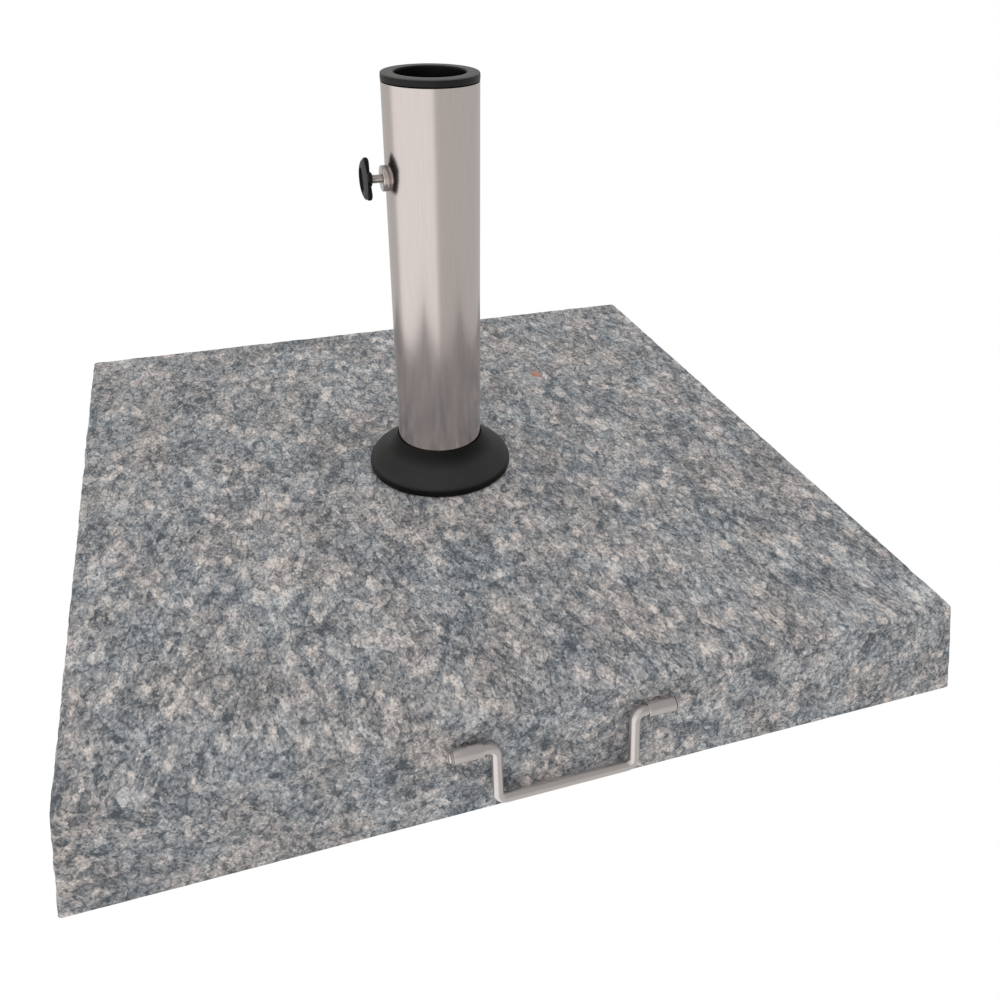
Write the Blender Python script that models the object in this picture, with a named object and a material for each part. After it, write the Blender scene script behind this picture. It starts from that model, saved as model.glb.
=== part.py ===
"""Parasol base: a granite slab with a stainless socket tube, a clamp, a fold-down handle and rollers.

Frame: metres, +Z up.  The origin is on the floor under the socket tube's axis, which is also the
middle of the slab.  -Y is the front, where the handle hangs, and +Y is the rear, where the rollers are.
The slab's four sides slope: its top face is smaller than its bottom face.
"""
import math

import bmesh
import bpy
from mathutils import Matrix, Vector

# Clearances and standard sizes
GAP = 0.0003
RUNNING_GAP = 0.0003
CUT_PAST = 0.003
M6_RADIUS = 0.003

# Slab
SLAB_SIDE = 0.500
SLAB_THICKNESS = 0.0593
SLAB_DRAFT = 0.0098
SLAB_EDGE_RADIUS = 0.003
PAD_RADIUS = 0.018
PAD_HEIGHT = 0.004
PAD_INSET = 0.028
SLAB_BOTTOM = PAD_HEIGHT + GAP
SLAB_TOP = SLAB_BOTTOM + SLAB_THICKNESS
REAR_FACE = SLAB_SIDE / 2

# Socket tube, its foot flange and the plastic pieces on it
SOCKET_TOP = SLAB_TOP + 0.2530
TUBE_RADIUS = 0.0280
TUBE_WALL = 0.002
TUBE_SEGMENTS = 56
TUBE_INNER = TUBE_RADIUS - TUBE_WALL
TUBE_BOTTOM = SLAB_TOP + GAP
CAP_RADIUS = 0.0281
CAP_BORE = 0.0203
CAP_LIP = 0.0044
CAP_SKIRT = 0.026
TUBE_TOP = SOCKET_TOP - CAP_LIP - GAP
FLANGE_RADIUS = 0.0452
FLANGE_THICKNESS = 0.005
WELD_LEG = 0.0012
COVER_RADIUS = 0.0488
COVER_HEIGHT = 0.0235
COVER_RIM = 0.0040
COVER_WALL = 0.0018
INSERT_FLOOR = 0.004
INSERT_HEIGHT = 0.018
INSERT_BORE = 0.0208

# Bolts that hold the flange: countersunk heads on top, nuts in counterbores below
BOLT_CIRCLE = 0.0368
BOLT_HEAD_RADIUS = 0.0056
BOLT_HEAD_HEIGHT = 0.0032
BOLT_HOLE = 0.0034
COUNTERBORE_RADIUS = 0.011
COUNTERBORE_DEPTH = 0.016
WASHER_RADIUS = 0.009
WASHER_THICKNESS = 0.0016
NUT_FLATS = 0.010
NUT_HEIGHT = 0.005
BOLT_TIP_PAST_NUT = 0.0025

# Clamp screw (M5) on the tube's left side, its axis along X
CLAMP_Z = SLAB_TOP + 0.1967
SCREW_RADIUS = 0.0025
SCREW_HOLE = 0.0036
BOSS_RADIUS = 0.0073
BOSS_FACE = -0.0310
BOSS_ROOT = -0.022
SCREW_TIP = -0.0247
KNOB_RADIUS = 0.0123
KNOB_DISC_RADIUS = 0.0115
KNOB_VALLEY = 0.0056
KNOB_FACE = -0.0415
KNOB_DISC = 0.0016
KNOB_BACK = -0.0370
KNOB_CORE_RADIUS = 0.0062
KNOB_LOBE_BORE = 0.0050
KNOB_HUB_END = -0.0364
KNOB_HUB_RADIUS = 0.0040
KNOB_LOBES = 5
SPIGOT_RADIUS = 0.0016
TIP_RADIUS = 0.0050
TIP_BACK = -0.0244
TIP_FACE = -0.0214
TIP_SKIN = 0.0012

# Handle: a bent rod that turns in two eyes on the front face and hangs parallel to the sloping face
ROD_RADIUS = 0.0029
HANDLE_Z = SLAB_TOP - 0.0155
HANDLE_Y = -0.2475
HANDLE_LEAN = math.atan2(SLAB_DRAFT, SLAB_THICKNESS)
HANDLE_FACE = -SLAB_SIDE / 2 + SLAB_DRAFT * (HANDLE_Z - SLAB_BOTTOM) / SLAB_THICKNESS
HANDLE_DROP = 0.0335
HANDLE_ARM_X = 0.0377
HANDLE_END_X = 0.0624
TOP_BEND = 0.0050
LOW_BEND = 0.0044
EYE_RADIUS = 0.0039
EYE_INNER_X = 0.0446
EYE_OUTER_X = 0.0600
CLIP_X = 0.0608
CLIP_THICKNESS = 0.0006
CLIP_RADIUS = 0.0036
GROOVE_RADIUS = 0.0022
GROOVE_STEP = 0.00002
ANCHOR_RADIUS = 0.0034
STUD_RADIUS = 0.0019
ANCHOR_MOUTH = 0.0012
ANCHOR_DEPTH = 0.030
ANCHOR_END_GAP = 0.002

# Rollers in two notches at the rear bottom edge
ROLLER_X = 0.175
ROLLER_RADIUS = 0.020
ROLLER_WIDTH = 0.020
ROLLER_LIFT = 0.0015
ROLLER_Y = REAR_FACE - 0.010
ROLLER_Z = ROLLER_RADIUS + ROLLER_LIFT
ROLLER_HUB = 0.0142
NOTCH_HALF_WIDTH = 0.0165
NOTCH_DEPTH = 0.034
NOTCH_TOP = 0.0455
BRACKET_SHEET = 0.002
CHEEK_INNER = 0.011
BRACKET_BOTTOM = 0.0115
BRACKET_TOP = 0.0440
CHEEK_REACH = 0.0060
AXLE_HEAD_RADIUS = 0.0050
AXLE_HEAD_HEIGHT = 0.0024
AXLE_CLIP_RADIUS = 0.0058
AXLE_CLIP_THICKNESS = 0.0014
BRACKET_SCREW_X = 0.0055
BRACKET_SCREW_Z = 0.0370
BRACKET_SCREW_LENGTH = 0.026
BRACKET_SCREW_RADIUS = 0.0026
BRACKET_SCREW_HEAD = 0.0045

ALONG_X = Matrix.Rotation(math.pi / 2, 4, "Y")
ALONG_Y = Matrix.Rotation(-math.pi / 2, 4, "X")
SIDES = (("left", -1), ("right", 1))


def clear_scene():
    for item in list(bpy.data.objects):
        bpy.data.objects.remove(item, do_unlink=True)


def material(name, colour, roughness, metallic=0.0):
    made = bpy.data.materials.new(name)
    made.use_nodes = True
    shader = made.node_tree.nodes["Principled BSDF"]
    shader.inputs["Base Color"].default_value = (*colour, 1.0)
    shader.inputs["Roughness"].default_value = roughness
    shader.inputs["Metallic"].default_value = metallic
    return made


def finish(mesh_data, name, look, origin=(0, 0, 0), smooth_below=35.0):
    """Turn a bmesh made around its own origin into a named object placed at origin."""
    bmesh.ops.recalc_face_normals(mesh_data, faces=mesh_data.faces)
    mesh = bpy.data.meshes.new(name)
    mesh_data.to_mesh(mesh)
    mesh_data.free()
    mesh.shade_smooth()
    mesh.set_sharp_from_angle(angle=math.radians(smooth_below))
    mesh.materials.append(look)
    item = bpy.data.objects.new(name, mesh)
    item.location = origin
    bpy.context.scene.collection.objects.link(item)
    return item


def add_turned(mesh_data, profile, segments, matrix=Matrix()):
    """Turn (radius, height) points about Z; a point at radius 0 closes the shape on the axis."""
    rings = []
    for radius, height in profile:
        if radius == 0.0:
            rings.append([mesh_data.verts.new(matrix @ Vector((0, 0, height)))])
            continue
        ring = []
        for step in range(segments):
            angle = 2 * math.pi * step / segments
            point = Vector((radius * math.cos(angle), radius * math.sin(angle), height))
            ring.append(mesh_data.verts.new(matrix @ point))
        rings.append(ring)
    pairs = list(zip(rings, rings[1:]))
    if len(rings[0]) > 1 and len(rings[-1]) > 1:
        pairs.append((rings[-1], rings[0]))
    for lower, upper in pairs:
        for step in range(segments):
            following = (step + 1) % segments
            corners = [lower[step % len(lower)], lower[following % len(lower)]]
            corners += [upper[following % len(upper)], upper[step % len(upper)]]
            mesh_data.faces.new(list(dict.fromkeys(corners)))


def turned(name, profile, look, segments, origin=(0, 0, 0), matrix=Matrix()):
    mesh_data = bmesh.new()
    add_turned(mesh_data, profile, segments, matrix)
    return finish(mesh_data, name, look, origin)


def rod_profile(radius, low, high):
    return [(0.0, low), (radius, low), (radius, high), (0.0, high)]


def ring_profile(inner, outer, low, high):
    return [(inner, low), (outer, low), (outer, high), (inner, high)]


def chamfered_rod(radius, low, high, chamfer):
    return [
        (0.0, low),
        (radius - chamfer, low),
        (radius, low + chamfer),
        (radius, high - chamfer),
        (radius - chamfer, high),
        (0.0, high),
    ]


def chamfered_ring(inner, outer, low, high, chamfer):
    return [
        (inner, low),
        (outer - chamfer, low),
        (outer, low + chamfer),
        (outer, high - chamfer),
        (outer - chamfer, high),
        (inner, high),
    ]


def add_box(mesh_data, low, high):
    size = Vector(high) - Vector(low)
    middle = (Vector(high) + Vector(low)) / 2
    made = bmesh.ops.create_cube(mesh_data, size=1.0)
    bmesh.ops.scale(mesh_data, verts=made["verts"], vec=size)
    bmesh.ops.translate(mesh_data, verts=made["verts"], vec=middle)


def add_prism(mesh_data, outline, low, high, matrix=Matrix()):
    """Extrude a list of (x, y) points from height low to height high."""
    count = len(outline)
    floor = [mesh_data.verts.new(matrix @ Vector((x, y, low))) for x, y in outline]
    roof = [mesh_data.verts.new(matrix @ Vector((x, y, high))) for x, y in outline]
    mesh_data.faces.new(floor)
    mesh_data.faces.new(roof)
    for step in range(count):
        following = (step + 1) % count
        mesh_data.faces.new([floor[step], floor[following], roof[following], roof[step]])


def boolean(target, tool, operation="DIFFERENCE"):
    """Cut target with tool, or join tool to it, and keep tool as a hidden helper."""
    tool.hide_render = True
    tool.display_type = "WIRE"
    modifier = target.modifiers.new(operation.title(), "BOOLEAN")
    modifier.operation = operation
    modifier.solver = "EXACT"
    modifier.object = tool


def arc(centre, start_angle, end_angle, radius, steps):
    """Points of an arc in the XZ plane, as (x, z)."""
    points = []
    for step in range(steps + 1):
        angle = math.radians(start_angle + (end_angle - start_angle) * step / steps)
        points.append((centre[0] + radius * math.cos(angle), centre[1] + radius * math.sin(angle)))
    return points


def bezier(start, pull_start, pull_end, end, steps):
    points = []
    for step in range(steps + 1):
        t = step / steps
        weights = ((1 - t) ** 3, 3 * t * (1 - t) ** 2, 3 * t * t * (1 - t), t ** 3)
        controls = (start, pull_start, pull_end, end)
        points.append(tuple(sum(w * c[axis] for w, c in zip(weights, controls)) for axis in (0, 1)))
    return points


def bolt_places():
    """The four flange bolts stand on the diagonals of the slab."""
    places = []
    for step in range(4):
        angle = math.radians(45 + 90 * step)
        places.append((BOLT_CIRCLE * math.cos(angle), BOLT_CIRCLE * math.sin(angle)))
    return places


def make_slab(look):
    mesh_data = bmesh.new()
    half = SLAB_SIDE / 2
    add_box(mesh_data, (-half, -half, SLAB_BOTTOM), (half, half, SLAB_TOP))
    for vertex in mesh_data.verts:
        if vertex.co.z > SLAB_BOTTOM + SLAB_THICKNESS / 2:
            vertex.co.x *= 1 - SLAB_DRAFT / half
            vertex.co.y *= 1 - SLAB_DRAFT / half
    bmesh.ops.bevel(
        mesh_data,
        geom=mesh_data.edges[:],
        offset=SLAB_EDGE_RADIUS,
        offset_type="OFFSET",
        segments=3,
        profile=0.5,
        affect="EDGES",
    )
    slab = finish(mesh_data, "granite_slab", look)

    holes = bmesh.new()
    seat = SLAB_BOTTOM + COUNTERBORE_DEPTH
    below = SLAB_BOTTOM - CUT_PAST
    above = SLAB_TOP + CUT_PAST
    stepped = [
        (0.0, below),
        (COUNTERBORE_RADIUS, below),
        (COUNTERBORE_RADIUS, seat),
        (BOLT_HOLE, seat),
        (BOLT_HOLE, above),
        (0.0, above),
    ]
    for x, y in bolt_places():
        add_turned(holes, stepped, 14, Matrix.Translation((x, y, 0)))
    for _, side in SIDES:
        stud_x = side * (EYE_INNER_X + EYE_OUTER_X) / 2
        place = Matrix.Translation((stud_x, HANDLE_FACE, HANDLE_Z)) @ ALONG_Y
        depth = ANCHOR_DEPTH + ANCHOR_END_GAP
        add_turned(holes, rod_profile(ANCHOR_RADIUS + GAP, -CUT_PAST, depth), 12, place)
        low = (side * ROLLER_X - NOTCH_HALF_WIDTH, REAR_FACE - NOTCH_DEPTH, SLAB_BOTTOM - CUT_PAST)
        high = (side * ROLLER_X + NOTCH_HALF_WIDTH, REAR_FACE + CUT_PAST, NOTCH_TOP)
        add_box(holes, low, high)
    boolean(slab, finish(holes, "slab_cutter", look))

    screw_holes = bmesh.new()
    for x in bracket_screw_places():
        place = Matrix.Translation((x, REAR_FACE - NOTCH_DEPTH, BRACKET_SCREW_Z)) @ ALONG_Y
        bore = rod_profile(BRACKET_SCREW_RADIUS + GAP, -BRACKET_SCREW_LENGTH, CUT_PAST)
        add_turned(screw_holes, bore, 12, place)
    boolean(slab, finish(screw_holes, "screw_hole_cutter", look))


def make_pads(look):
    reach = SLAB_SIDE / 2 - PAD_INSET
    for row, y in (("front", -reach), ("rear", reach)):
        for side_name, side in SIDES:
            profile = chamfered_rod(PAD_RADIUS, 0.0, PAD_HEIGHT, 0.0008)
            turned(f"foot_pad_{row}_{side_name}", profile, look, 20, (side * reach, y, 0))


def make_tube(look):
    wall = ring_profile(TUBE_INNER, TUBE_RADIUS, TUBE_BOTTOM, TUBE_TOP)
    tube = turned("socket_tube", wall, look, TUBE_SEGMENTS)
    hole = bmesh.new()
    place = Matrix.Translation((0, 0, CLAMP_Z)) @ ALONG_X
    add_turned(hole, rod_profile(SCREW_HOLE, -TUBE_RADIUS - CUT_PAST, -TUBE_INNER + CUT_PAST), 16, place)
    boolean(tube, finish(hole, "tube_cutter", look))


def make_flange(look):
    low = SLAB_TOP + GAP
    high = low + FLANGE_THICKNESS
    inner = TUBE_RADIUS + GAP
    profile = [
        (inner, low),
        (FLANGE_RADIUS - 0.0005, low),
        (FLANGE_RADIUS, low + 0.0005),
        (FLANGE_RADIUS, high - 0.0005),
        (FLANGE_RADIUS - 0.0005, high),
        (inner + WELD_LEG, high),
        (inner, high + WELD_LEG),
    ]
    flange = turned("foot_flange", profile, look, 40)
    holes = bmesh.new()
    sink = high - BOLT_HEAD_HEIGHT
    head = BOLT_HEAD_RADIUS + GAP
    shape = [
        (0.0, low - CUT_PAST),
        (BOLT_HOLE, low - CUT_PAST),
        (BOLT_HOLE, sink - 0.0004),
        (head, high - 0.0009),
        (head, high + CUT_PAST),
        (0.0, high + CUT_PAST),
    ]
    for x, y in bolt_places():
        add_turned(holes, shape, 14, Matrix.Translation((x, y, 0)))
    boolean(flange, finish(holes, "flange_cutter", look))


def make_flange_bolts(look):
    """Countersunk bolts drop through flange and slab; washers and nuts pull up from below."""
    top = SLAB_TOP + GAP + FLANGE_THICKNESS - 0.0002
    seat = SLAB_BOTTOM + COUNTERBORE_DEPTH
    washer_low = seat - GAP - WASHER_THICKNESS
    nut_low = washer_low - GAP - NUT_HEIGHT
    tip = nut_low - BOLT_TIP_PAST_NUT
    bolt = [
        (0.0, tip),
        (M6_RADIUS - 0.0006, tip),
        (M6_RADIUS, tip + 0.0006),
        (M6_RADIUS, top - BOLT_HEAD_HEIGHT),
        (BOLT_HEAD_RADIUS, top - 0.0004),
        (BOLT_HEAD_RADIUS, top),
        (0.0020, top),
        (0.0016, top - 0.0018),
        (0.0, top - 0.0018),
    ]
    flat_radius = NUT_FLATS / 2 / math.cos(math.radians(30))
    corners = [math.radians(60 * step) for step in range(6)]
    hexagon = [(flat_radius * math.cos(a), flat_radius * math.sin(a)) for a in corners]
    for number, (x, y) in enumerate(bolt_places(), start=1):
        turned(f"flange_bolt_{number}", bolt, look, 12, (x, y, 0))
        washer = ring_profile(M6_RADIUS + GAP, WASHER_RADIUS, washer_low, washer_low + WASHER_THICKNESS)
        turned(f"flange_washer_{number}", washer, look, 16, (x, y, 0))
        body = bmesh.new()
        add_prism(body, hexagon, nut_low, nut_low + NUT_HEIGHT)
        nut = finish(body, f"flange_nut_{number}", look, (x, y, 0))
        bore = bmesh.new()
        hole = rod_profile(M6_RADIUS + GAP, nut_low - CUT_PAST, nut_low + NUT_HEIGHT + CUT_PAST)
        add_turned(bore, hole, 12)
        boolean(nut, finish(bore, f"nut_cutter_{number}", look, (x, y, 0)))


def make_cover(look):
    """Plastic bell over the flange: an upright rim, a domed flank and a neck that hugs the tube."""
    base = SLAB_TOP + GAP
    neck = TUBE_RADIUS + GAP
    outer = [(COVER_RADIUS - 0.0006, 0.0), (COVER_RADIUS, 0.0008), (COVER_RADIUS, COVER_RIM)]
    shoulder = (COVER_RADIUS - 0.0004, COVER_RIM + 0.0014)
    outer += bezier(shoulder, (0.0452, 0.0128), (0.0332, 0.0130), (neck + 0.0010, COVER_HEIGHT), 7)
    inner_rim = COVER_RADIUS - COVER_WALL
    inner = [(neck, COVER_HEIGHT), (neck, COVER_HEIGHT - 0.0030)]
    inner += bezier((neck + 0.0012, 0.0172), (0.0352, 0.0100), (0.0440, 0.0098), (inner_rim, 0.0056), 4)
    inner += [(inner_rim, 0.0)]
    profile = [(radius, base + height) for radius, height in outer + inner]
    return turned("foot_cover", profile, look, 48)


def make_cap(look):
    low = SOCKET_TOP - CAP_LIP
    skirt_outer = TUBE_INNER - 0.0004
    profile = [
        (CAP_BORE + 0.0008, low - CAP_SKIRT),
        (skirt_outer - 0.0010, low - CAP_SKIRT),
        (skirt_outer, low - CAP_SKIRT + 0.0020),
        (skirt_outer, low),
        (CAP_RADIUS, low),
        (CAP_RADIUS, SOCKET_TOP - 0.0014),
        (CAP_RADIUS - 0.0004, SOCKET_TOP - 0.0004),
        (CAP_RADIUS - 0.0014, SOCKET_TOP),
        (CAP_BORE + 0.0014, SOCKET_TOP),
        (CAP_BORE + 0.0004, SOCKET_TOP - 0.0004),
        (CAP_BORE, SOCKET_TOP - 0.0014),
        (CAP_BORE, low - CAP_SKIRT + 0.0008),
    ]
    turned("top_cap", profile, look, 48)


def make_insert(look):
    """Cup in the foot of the tube: the pole stands on its floor, inside its collar."""
    base = SLAB_TOP + GAP
    outer = TUBE_INNER - 0.0004
    profile = [
        (0.0, base),
        (outer, base),
        (outer, base + INSERT_HEIGHT),
        (INSERT_BORE + 0.0025, base + INSERT_HEIGHT),
        (INSERT_BORE, base + INSERT_HEIGHT - 0.0040),
        (INSERT_BORE, base + INSERT_FLOOR),
        (0.0, base + INSERT_FLOOR),
    ]
    turned("pole_rest_cup", profile, look, 32)


def make_clamp(steel, plastic):
    centre = (0, 0, CLAMP_Z)
    bore = SCREW_RADIUS + RUNNING_GAP
    boss_profile = [
        (bore, BOSS_ROOT),
        (BOSS_RADIUS, BOSS_ROOT),
        (BOSS_RADIUS, BOSS_FACE + 0.0006),
        (BOSS_RADIUS - 0.0006, BOSS_FACE),
        (bore, BOSS_FACE),
    ]
    boss = turned("clamp_boss", boss_profile, steel, 28, centre, ALONG_X)
    saddle = bmesh.new()
    low = CLAMP_Z - BOSS_RADIUS - CUT_PAST
    high = CLAMP_Z + BOSS_RADIUS + CUT_PAST
    add_turned(saddle, rod_profile(TUBE_RADIUS + GAP, low, high), TUBE_SEGMENTS)
    boolean(boss, finish(saddle, "boss_cutter", steel))

    knob_inside = KNOB_FACE + KNOB_DISC
    spigot_end = TIP_FACE - TIP_SKIN
    screw = [
        (0.0, knob_inside + GAP),
        (SCREW_RADIUS, knob_inside + GAP),
        (SCREW_RADIUS, SCREW_TIP - 0.0005),
        (SCREW_RADIUS - 0.0005, SCREW_TIP),
        (SPIGOT_RADIUS, SCREW_TIP),
        (SPIGOT_RADIUS, spigot_end),
        (0.0, spigot_end),
    ]
    turned("clamp_screw", screw, steel, 16, centre, ALONG_X)
    tip = [
        (0.0, spigot_end + GAP),
        (SPIGOT_RADIUS + GAP, spigot_end + GAP),
        (SPIGOT_RADIUS + GAP, TIP_BACK),
        (TIP_RADIUS - 0.0006, TIP_BACK),
        (TIP_RADIUS, TIP_BACK + 0.0006),
        (TIP_RADIUS, TIP_FACE - 0.0006),
        (TIP_RADIUS - 0.0006, TIP_FACE),
        (0.0, TIP_FACE),
    ]
    turned("pressure_tip", tip, plastic, 20, centre, ALONG_X)
    make_knob(plastic, centre)


def lobe_outline(lobes, outer, inner, per_lobe):
    """Outline of a star grip: rounded lobes with narrower valleys between them."""
    points = []
    total = lobes * per_lobe
    for step in range(total):
        angle = 2 * math.pi * step / total
        wave = 0.5 + 0.5 * math.cos(lobes * angle)
        points.append((angle, inner + (outer - inner) * wave ** 0.5))
    return [(radius * math.cos(angle), radius * math.sin(angle)) for angle, radius in points]


def make_knob(plastic, centre):
    """Star knob: a round face with a dished centre, five lobes behind it and a hub for the screw."""
    face_end = KNOB_FACE + KNOB_DISC
    bore = SCREW_RADIUS + GAP
    disc = [
        (0.0, KNOB_FACE + 0.0009),
        (0.0066, KNOB_FACE + 0.0007),
        (0.0086, KNOB_FACE),
        (0.0102, KNOB_FACE),
        (KNOB_DISC_RADIUS - 0.0003, KNOB_FACE + 0.0005),
        (KNOB_DISC_RADIUS, KNOB_FACE + 0.0011),
        (KNOB_DISC_RADIUS - 0.0002, face_end),
        (KNOB_CORE_RADIUS, face_end + 0.0004),
        (KNOB_CORE_RADIUS, KNOB_BACK - 0.0004),
        (KNOB_HUB_RADIUS, KNOB_BACK),
        (KNOB_HUB_RADIUS, KNOB_HUB_END),
        (bore, KNOB_HUB_END),
        (bore, face_end),
        (0.0, face_end),
    ]
    knob = turned("clamp_knob", disc, plastic, 30, centre, ALONG_X)
    star = bmesh.new()
    outline = lobe_outline(KNOB_LOBES, KNOB_RADIUS, KNOB_VALLEY, 10)
    add_prism(star, outline, face_end - 0.0006, KNOB_BACK, ALONG_X)
    ring = finish(star, "knob_lobes", plastic, centre)
    bore_cut = bmesh.new()
    hole = rod_profile(KNOB_LOBE_BORE, face_end - CUT_PAST, KNOB_BACK + CUT_PAST)
    add_turned(bore_cut, hole, 16, ALONG_X)
    boolean(ring, finish(bore_cut, "lobe_cutter", plastic, centre))
    boolean(knob, ring, "UNION")


def bail_path():
    """Centre line of the bent rod in the XZ plane, from its left end to its right end."""
    low = HANDLE_Z - HANDLE_DROP
    groove_near = CLIP_X - CLIP_THICKNESS / 2 - GAP
    groove_far = CLIP_X + CLIP_THICKNESS / 2 + GAP
    half = [
        (HANDLE_END_X, HANDLE_Z, ROD_RADIUS - 0.0005),
        (HANDLE_END_X - 0.0005, HANDLE_Z, ROD_RADIUS),
        (groove_far + GROOVE_STEP, HANDLE_Z, ROD_RADIUS),
        (groove_far, HANDLE_Z, GROOVE_RADIUS),
        (groove_near, HANDLE_Z, GROOVE_RADIUS),
        (groove_near - GROOVE_STEP, HANDLE_Z, ROD_RADIUS),
    ]
    top_centre = (HANDLE_ARM_X + TOP_BEND, HANDLE_Z - TOP_BEND)
    for x, z in arc(top_centre, 90, 180, TOP_BEND, 5):
        half.append((x, z, ROD_RADIUS))
    low_centre = (HANDLE_ARM_X - LOW_BEND, low + LOW_BEND)
    for x, z in arc(low_centre, 0, -90, LOW_BEND, 5):
        half.append((x, z, ROD_RADIUS))
    mirrored = [(-x, z, radius) for x, z, radius in half]
    return mirrored + half[::-1]


def make_bail(look):
    sides = 12
    path = bail_path()
    lean = Matrix.Rotation(-HANDLE_LEAN, 4, "X")
    mesh_data = bmesh.new()
    rings = []
    for number, (x, z, radius) in enumerate(path):
        before = path[max(number - 1, 0)]
        after = path[min(number + 1, len(path) - 1)]
        along = Vector((after[0] - before[0], 0, after[1] - before[1])).normalized()
        across = Vector((0, 1, 0))
        up = along.cross(across)
        ring = []
        for step in range(sides):
            angle = 2 * math.pi * step / sides
            offset = across * math.cos(angle) + up * math.sin(angle)
            point = Vector((x, 0, z - HANDLE_Z)) + radius * offset
            ring.append(mesh_data.verts.new(lean @ point))
        rings.append(ring)
    for lower, upper in zip(rings, rings[1:]):
        for step in range(sides):
            following = (step + 1) % sides
            mesh_data.faces.new([lower[step], lower[following], upper[following], upper[step]])
    mesh_data.faces.new(rings[0])
    mesh_data.faces.new(rings[-1])
    finish(mesh_data, "handle_bail", look, (0, HANDLE_Y, HANDLE_Z), 50.0)


def make_handle_fixings(steel, plastic):
    middle = (EYE_INNER_X + EYE_OUTER_X) / 2
    half_length = (EYE_OUTER_X - EYE_INNER_X) / 2
    for side_name, side in SIDES:
        centre = (side * middle, HANDLE_Y, HANDLE_Z)
        sleeve = chamfered_ring(ROD_RADIUS + RUNNING_GAP, EYE_RADIUS, -half_length, half_length, 0.0002)
        eye = turned(f"handle_eye_{side_name}", sleeve, steel, 20, centre, ALONG_X)
        stud = bmesh.new()
        stud_start = (ROD_RADIUS + RUNNING_GAP + EYE_RADIUS) / 2
        stud_end = HANDLE_FACE - HANDLE_Y + ANCHOR_DEPTH - ANCHOR_END_GAP
        add_turned(stud, rod_profile(STUD_RADIUS, stud_start, stud_end), 12, ALONG_Y)
        boolean(eye, finish(stud, f"eye_stud_{side_name}", steel, centre), "UNION")
        plug = [
            (STUD_RADIUS + GAP, ANCHOR_MOUTH),
            (ANCHOR_RADIUS, ANCHOR_MOUTH),
            (ANCHOR_RADIUS, ANCHOR_DEPTH - 0.0010),
            (ANCHOR_RADIUS - 0.0010, ANCHOR_DEPTH),
            (STUD_RADIUS + GAP, ANCHOR_DEPTH),
        ]
        mouth = (side * middle, HANDLE_FACE, HANDLE_Z)
        turned(f"handle_anchor_{side_name}", plug, plastic, 12, mouth, ALONG_Y)
        half_clip = CLIP_THICKNESS / 2
        clip = ring_profile(GROOVE_RADIUS + GAP, CLIP_RADIUS, -half_clip, half_clip)
        turned(f"handle_clip_{side_name}", clip, steel, 16, (side * CLIP_X, HANDLE_Y, HANDLE_Z), ALONG_X)


def bracket_screw_places():
    return [side * ROLLER_X + offset for _, side in SIDES for offset in (-BRACKET_SCREW_X, BRACKET_SCREW_X)]


def make_roller_wheels(rubber, plastic):
    half = ROLLER_WIDTH / 2
    tyre = [
        (ROLLER_HUB + GAP, -half),
        (ROLLER_RADIUS - 0.0025, -half),
        (ROLLER_RADIUS - 0.0007, -half + 0.0007),
        (ROLLER_RADIUS, -half + 0.0030),
        (ROLLER_RADIUS, half - 0.0030),
        (ROLLER_RADIUS - 0.0007, half - 0.0007),
        (ROLLER_RADIUS - 0.0025, half),
        (ROLLER_HUB + GAP, half),
    ]
    bore = M6_RADIUS + RUNNING_GAP
    hub = [
        (bore, -half),
        (0.0065, -half),
        (0.0075, -half + 0.0025),
        (0.0115, -half + 0.0025),
        (0.0122, -half + 0.0004),
        (ROLLER_HUB, -half + 0.0004),
        (ROLLER_HUB, half - 0.0004),
        (0.0122, half - 0.0004),
        (0.0115, half - 0.0025),
        (0.0075, half - 0.0025),
        (0.0065, half),
        (bore, half),
    ]
    for side_name, side in SIDES:
        centre = (side * ROLLER_X, ROLLER_Y, ROLLER_Z)
        turned(f"roller_tyre_{side_name}", tyre, rubber, 28, centre, ALONG_X)
        turned(f"roller_hub_{side_name}", hub, plastic, 20, centre, ALONG_X)


def make_roller_brackets(steel):
    """A U of sheet steel: the web is screwed to the notch's wall, the cheeks carry the axle."""
    web_front = REAR_FACE - NOTCH_DEPTH + GAP
    web_rear = web_front + BRACKET_SHEET
    outer = CHEEK_INNER + BRACKET_SHEET
    cheek_end = ROLLER_Y + CHEEK_REACH
    outline = [
        (-outer, web_front),
        (outer, web_front),
        (outer, cheek_end),
        (CHEEK_INNER, cheek_end),
        (CHEEK_INNER, web_rear),
        (-CHEEK_INNER, web_rear),
        (-CHEEK_INNER, cheek_end),
        (-outer, cheek_end),
    ]
    for side_name, side in SIDES:
        body = bmesh.new()
        add_prism(body, outline, BRACKET_BOTTOM, BRACKET_TOP)
        bracket = finish(body, f"roller_bracket_{side_name}", steel, (side * ROLLER_X, 0, 0))
        holes = bmesh.new()
        axle = Matrix.Translation((0, ROLLER_Y, ROLLER_Z)) @ ALONG_X
        past = outer + CUT_PAST
        add_turned(holes, rod_profile(M6_RADIUS + GAP, -past, past), 16, axle)
        for offset in (-BRACKET_SCREW_X, BRACKET_SCREW_X):
            place = Matrix.Translation((offset, web_front, BRACKET_SCREW_Z)) @ ALONG_Y
            bore = rod_profile(BRACKET_SCREW_RADIUS + GAP, -CUT_PAST, BRACKET_SHEET + CUT_PAST)
            add_turned(holes, bore, 12, place)
        boolean(bracket, finish(holes, f"bracket_cutter_{side_name}", steel, (side * ROLLER_X, 0, 0)))


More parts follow.
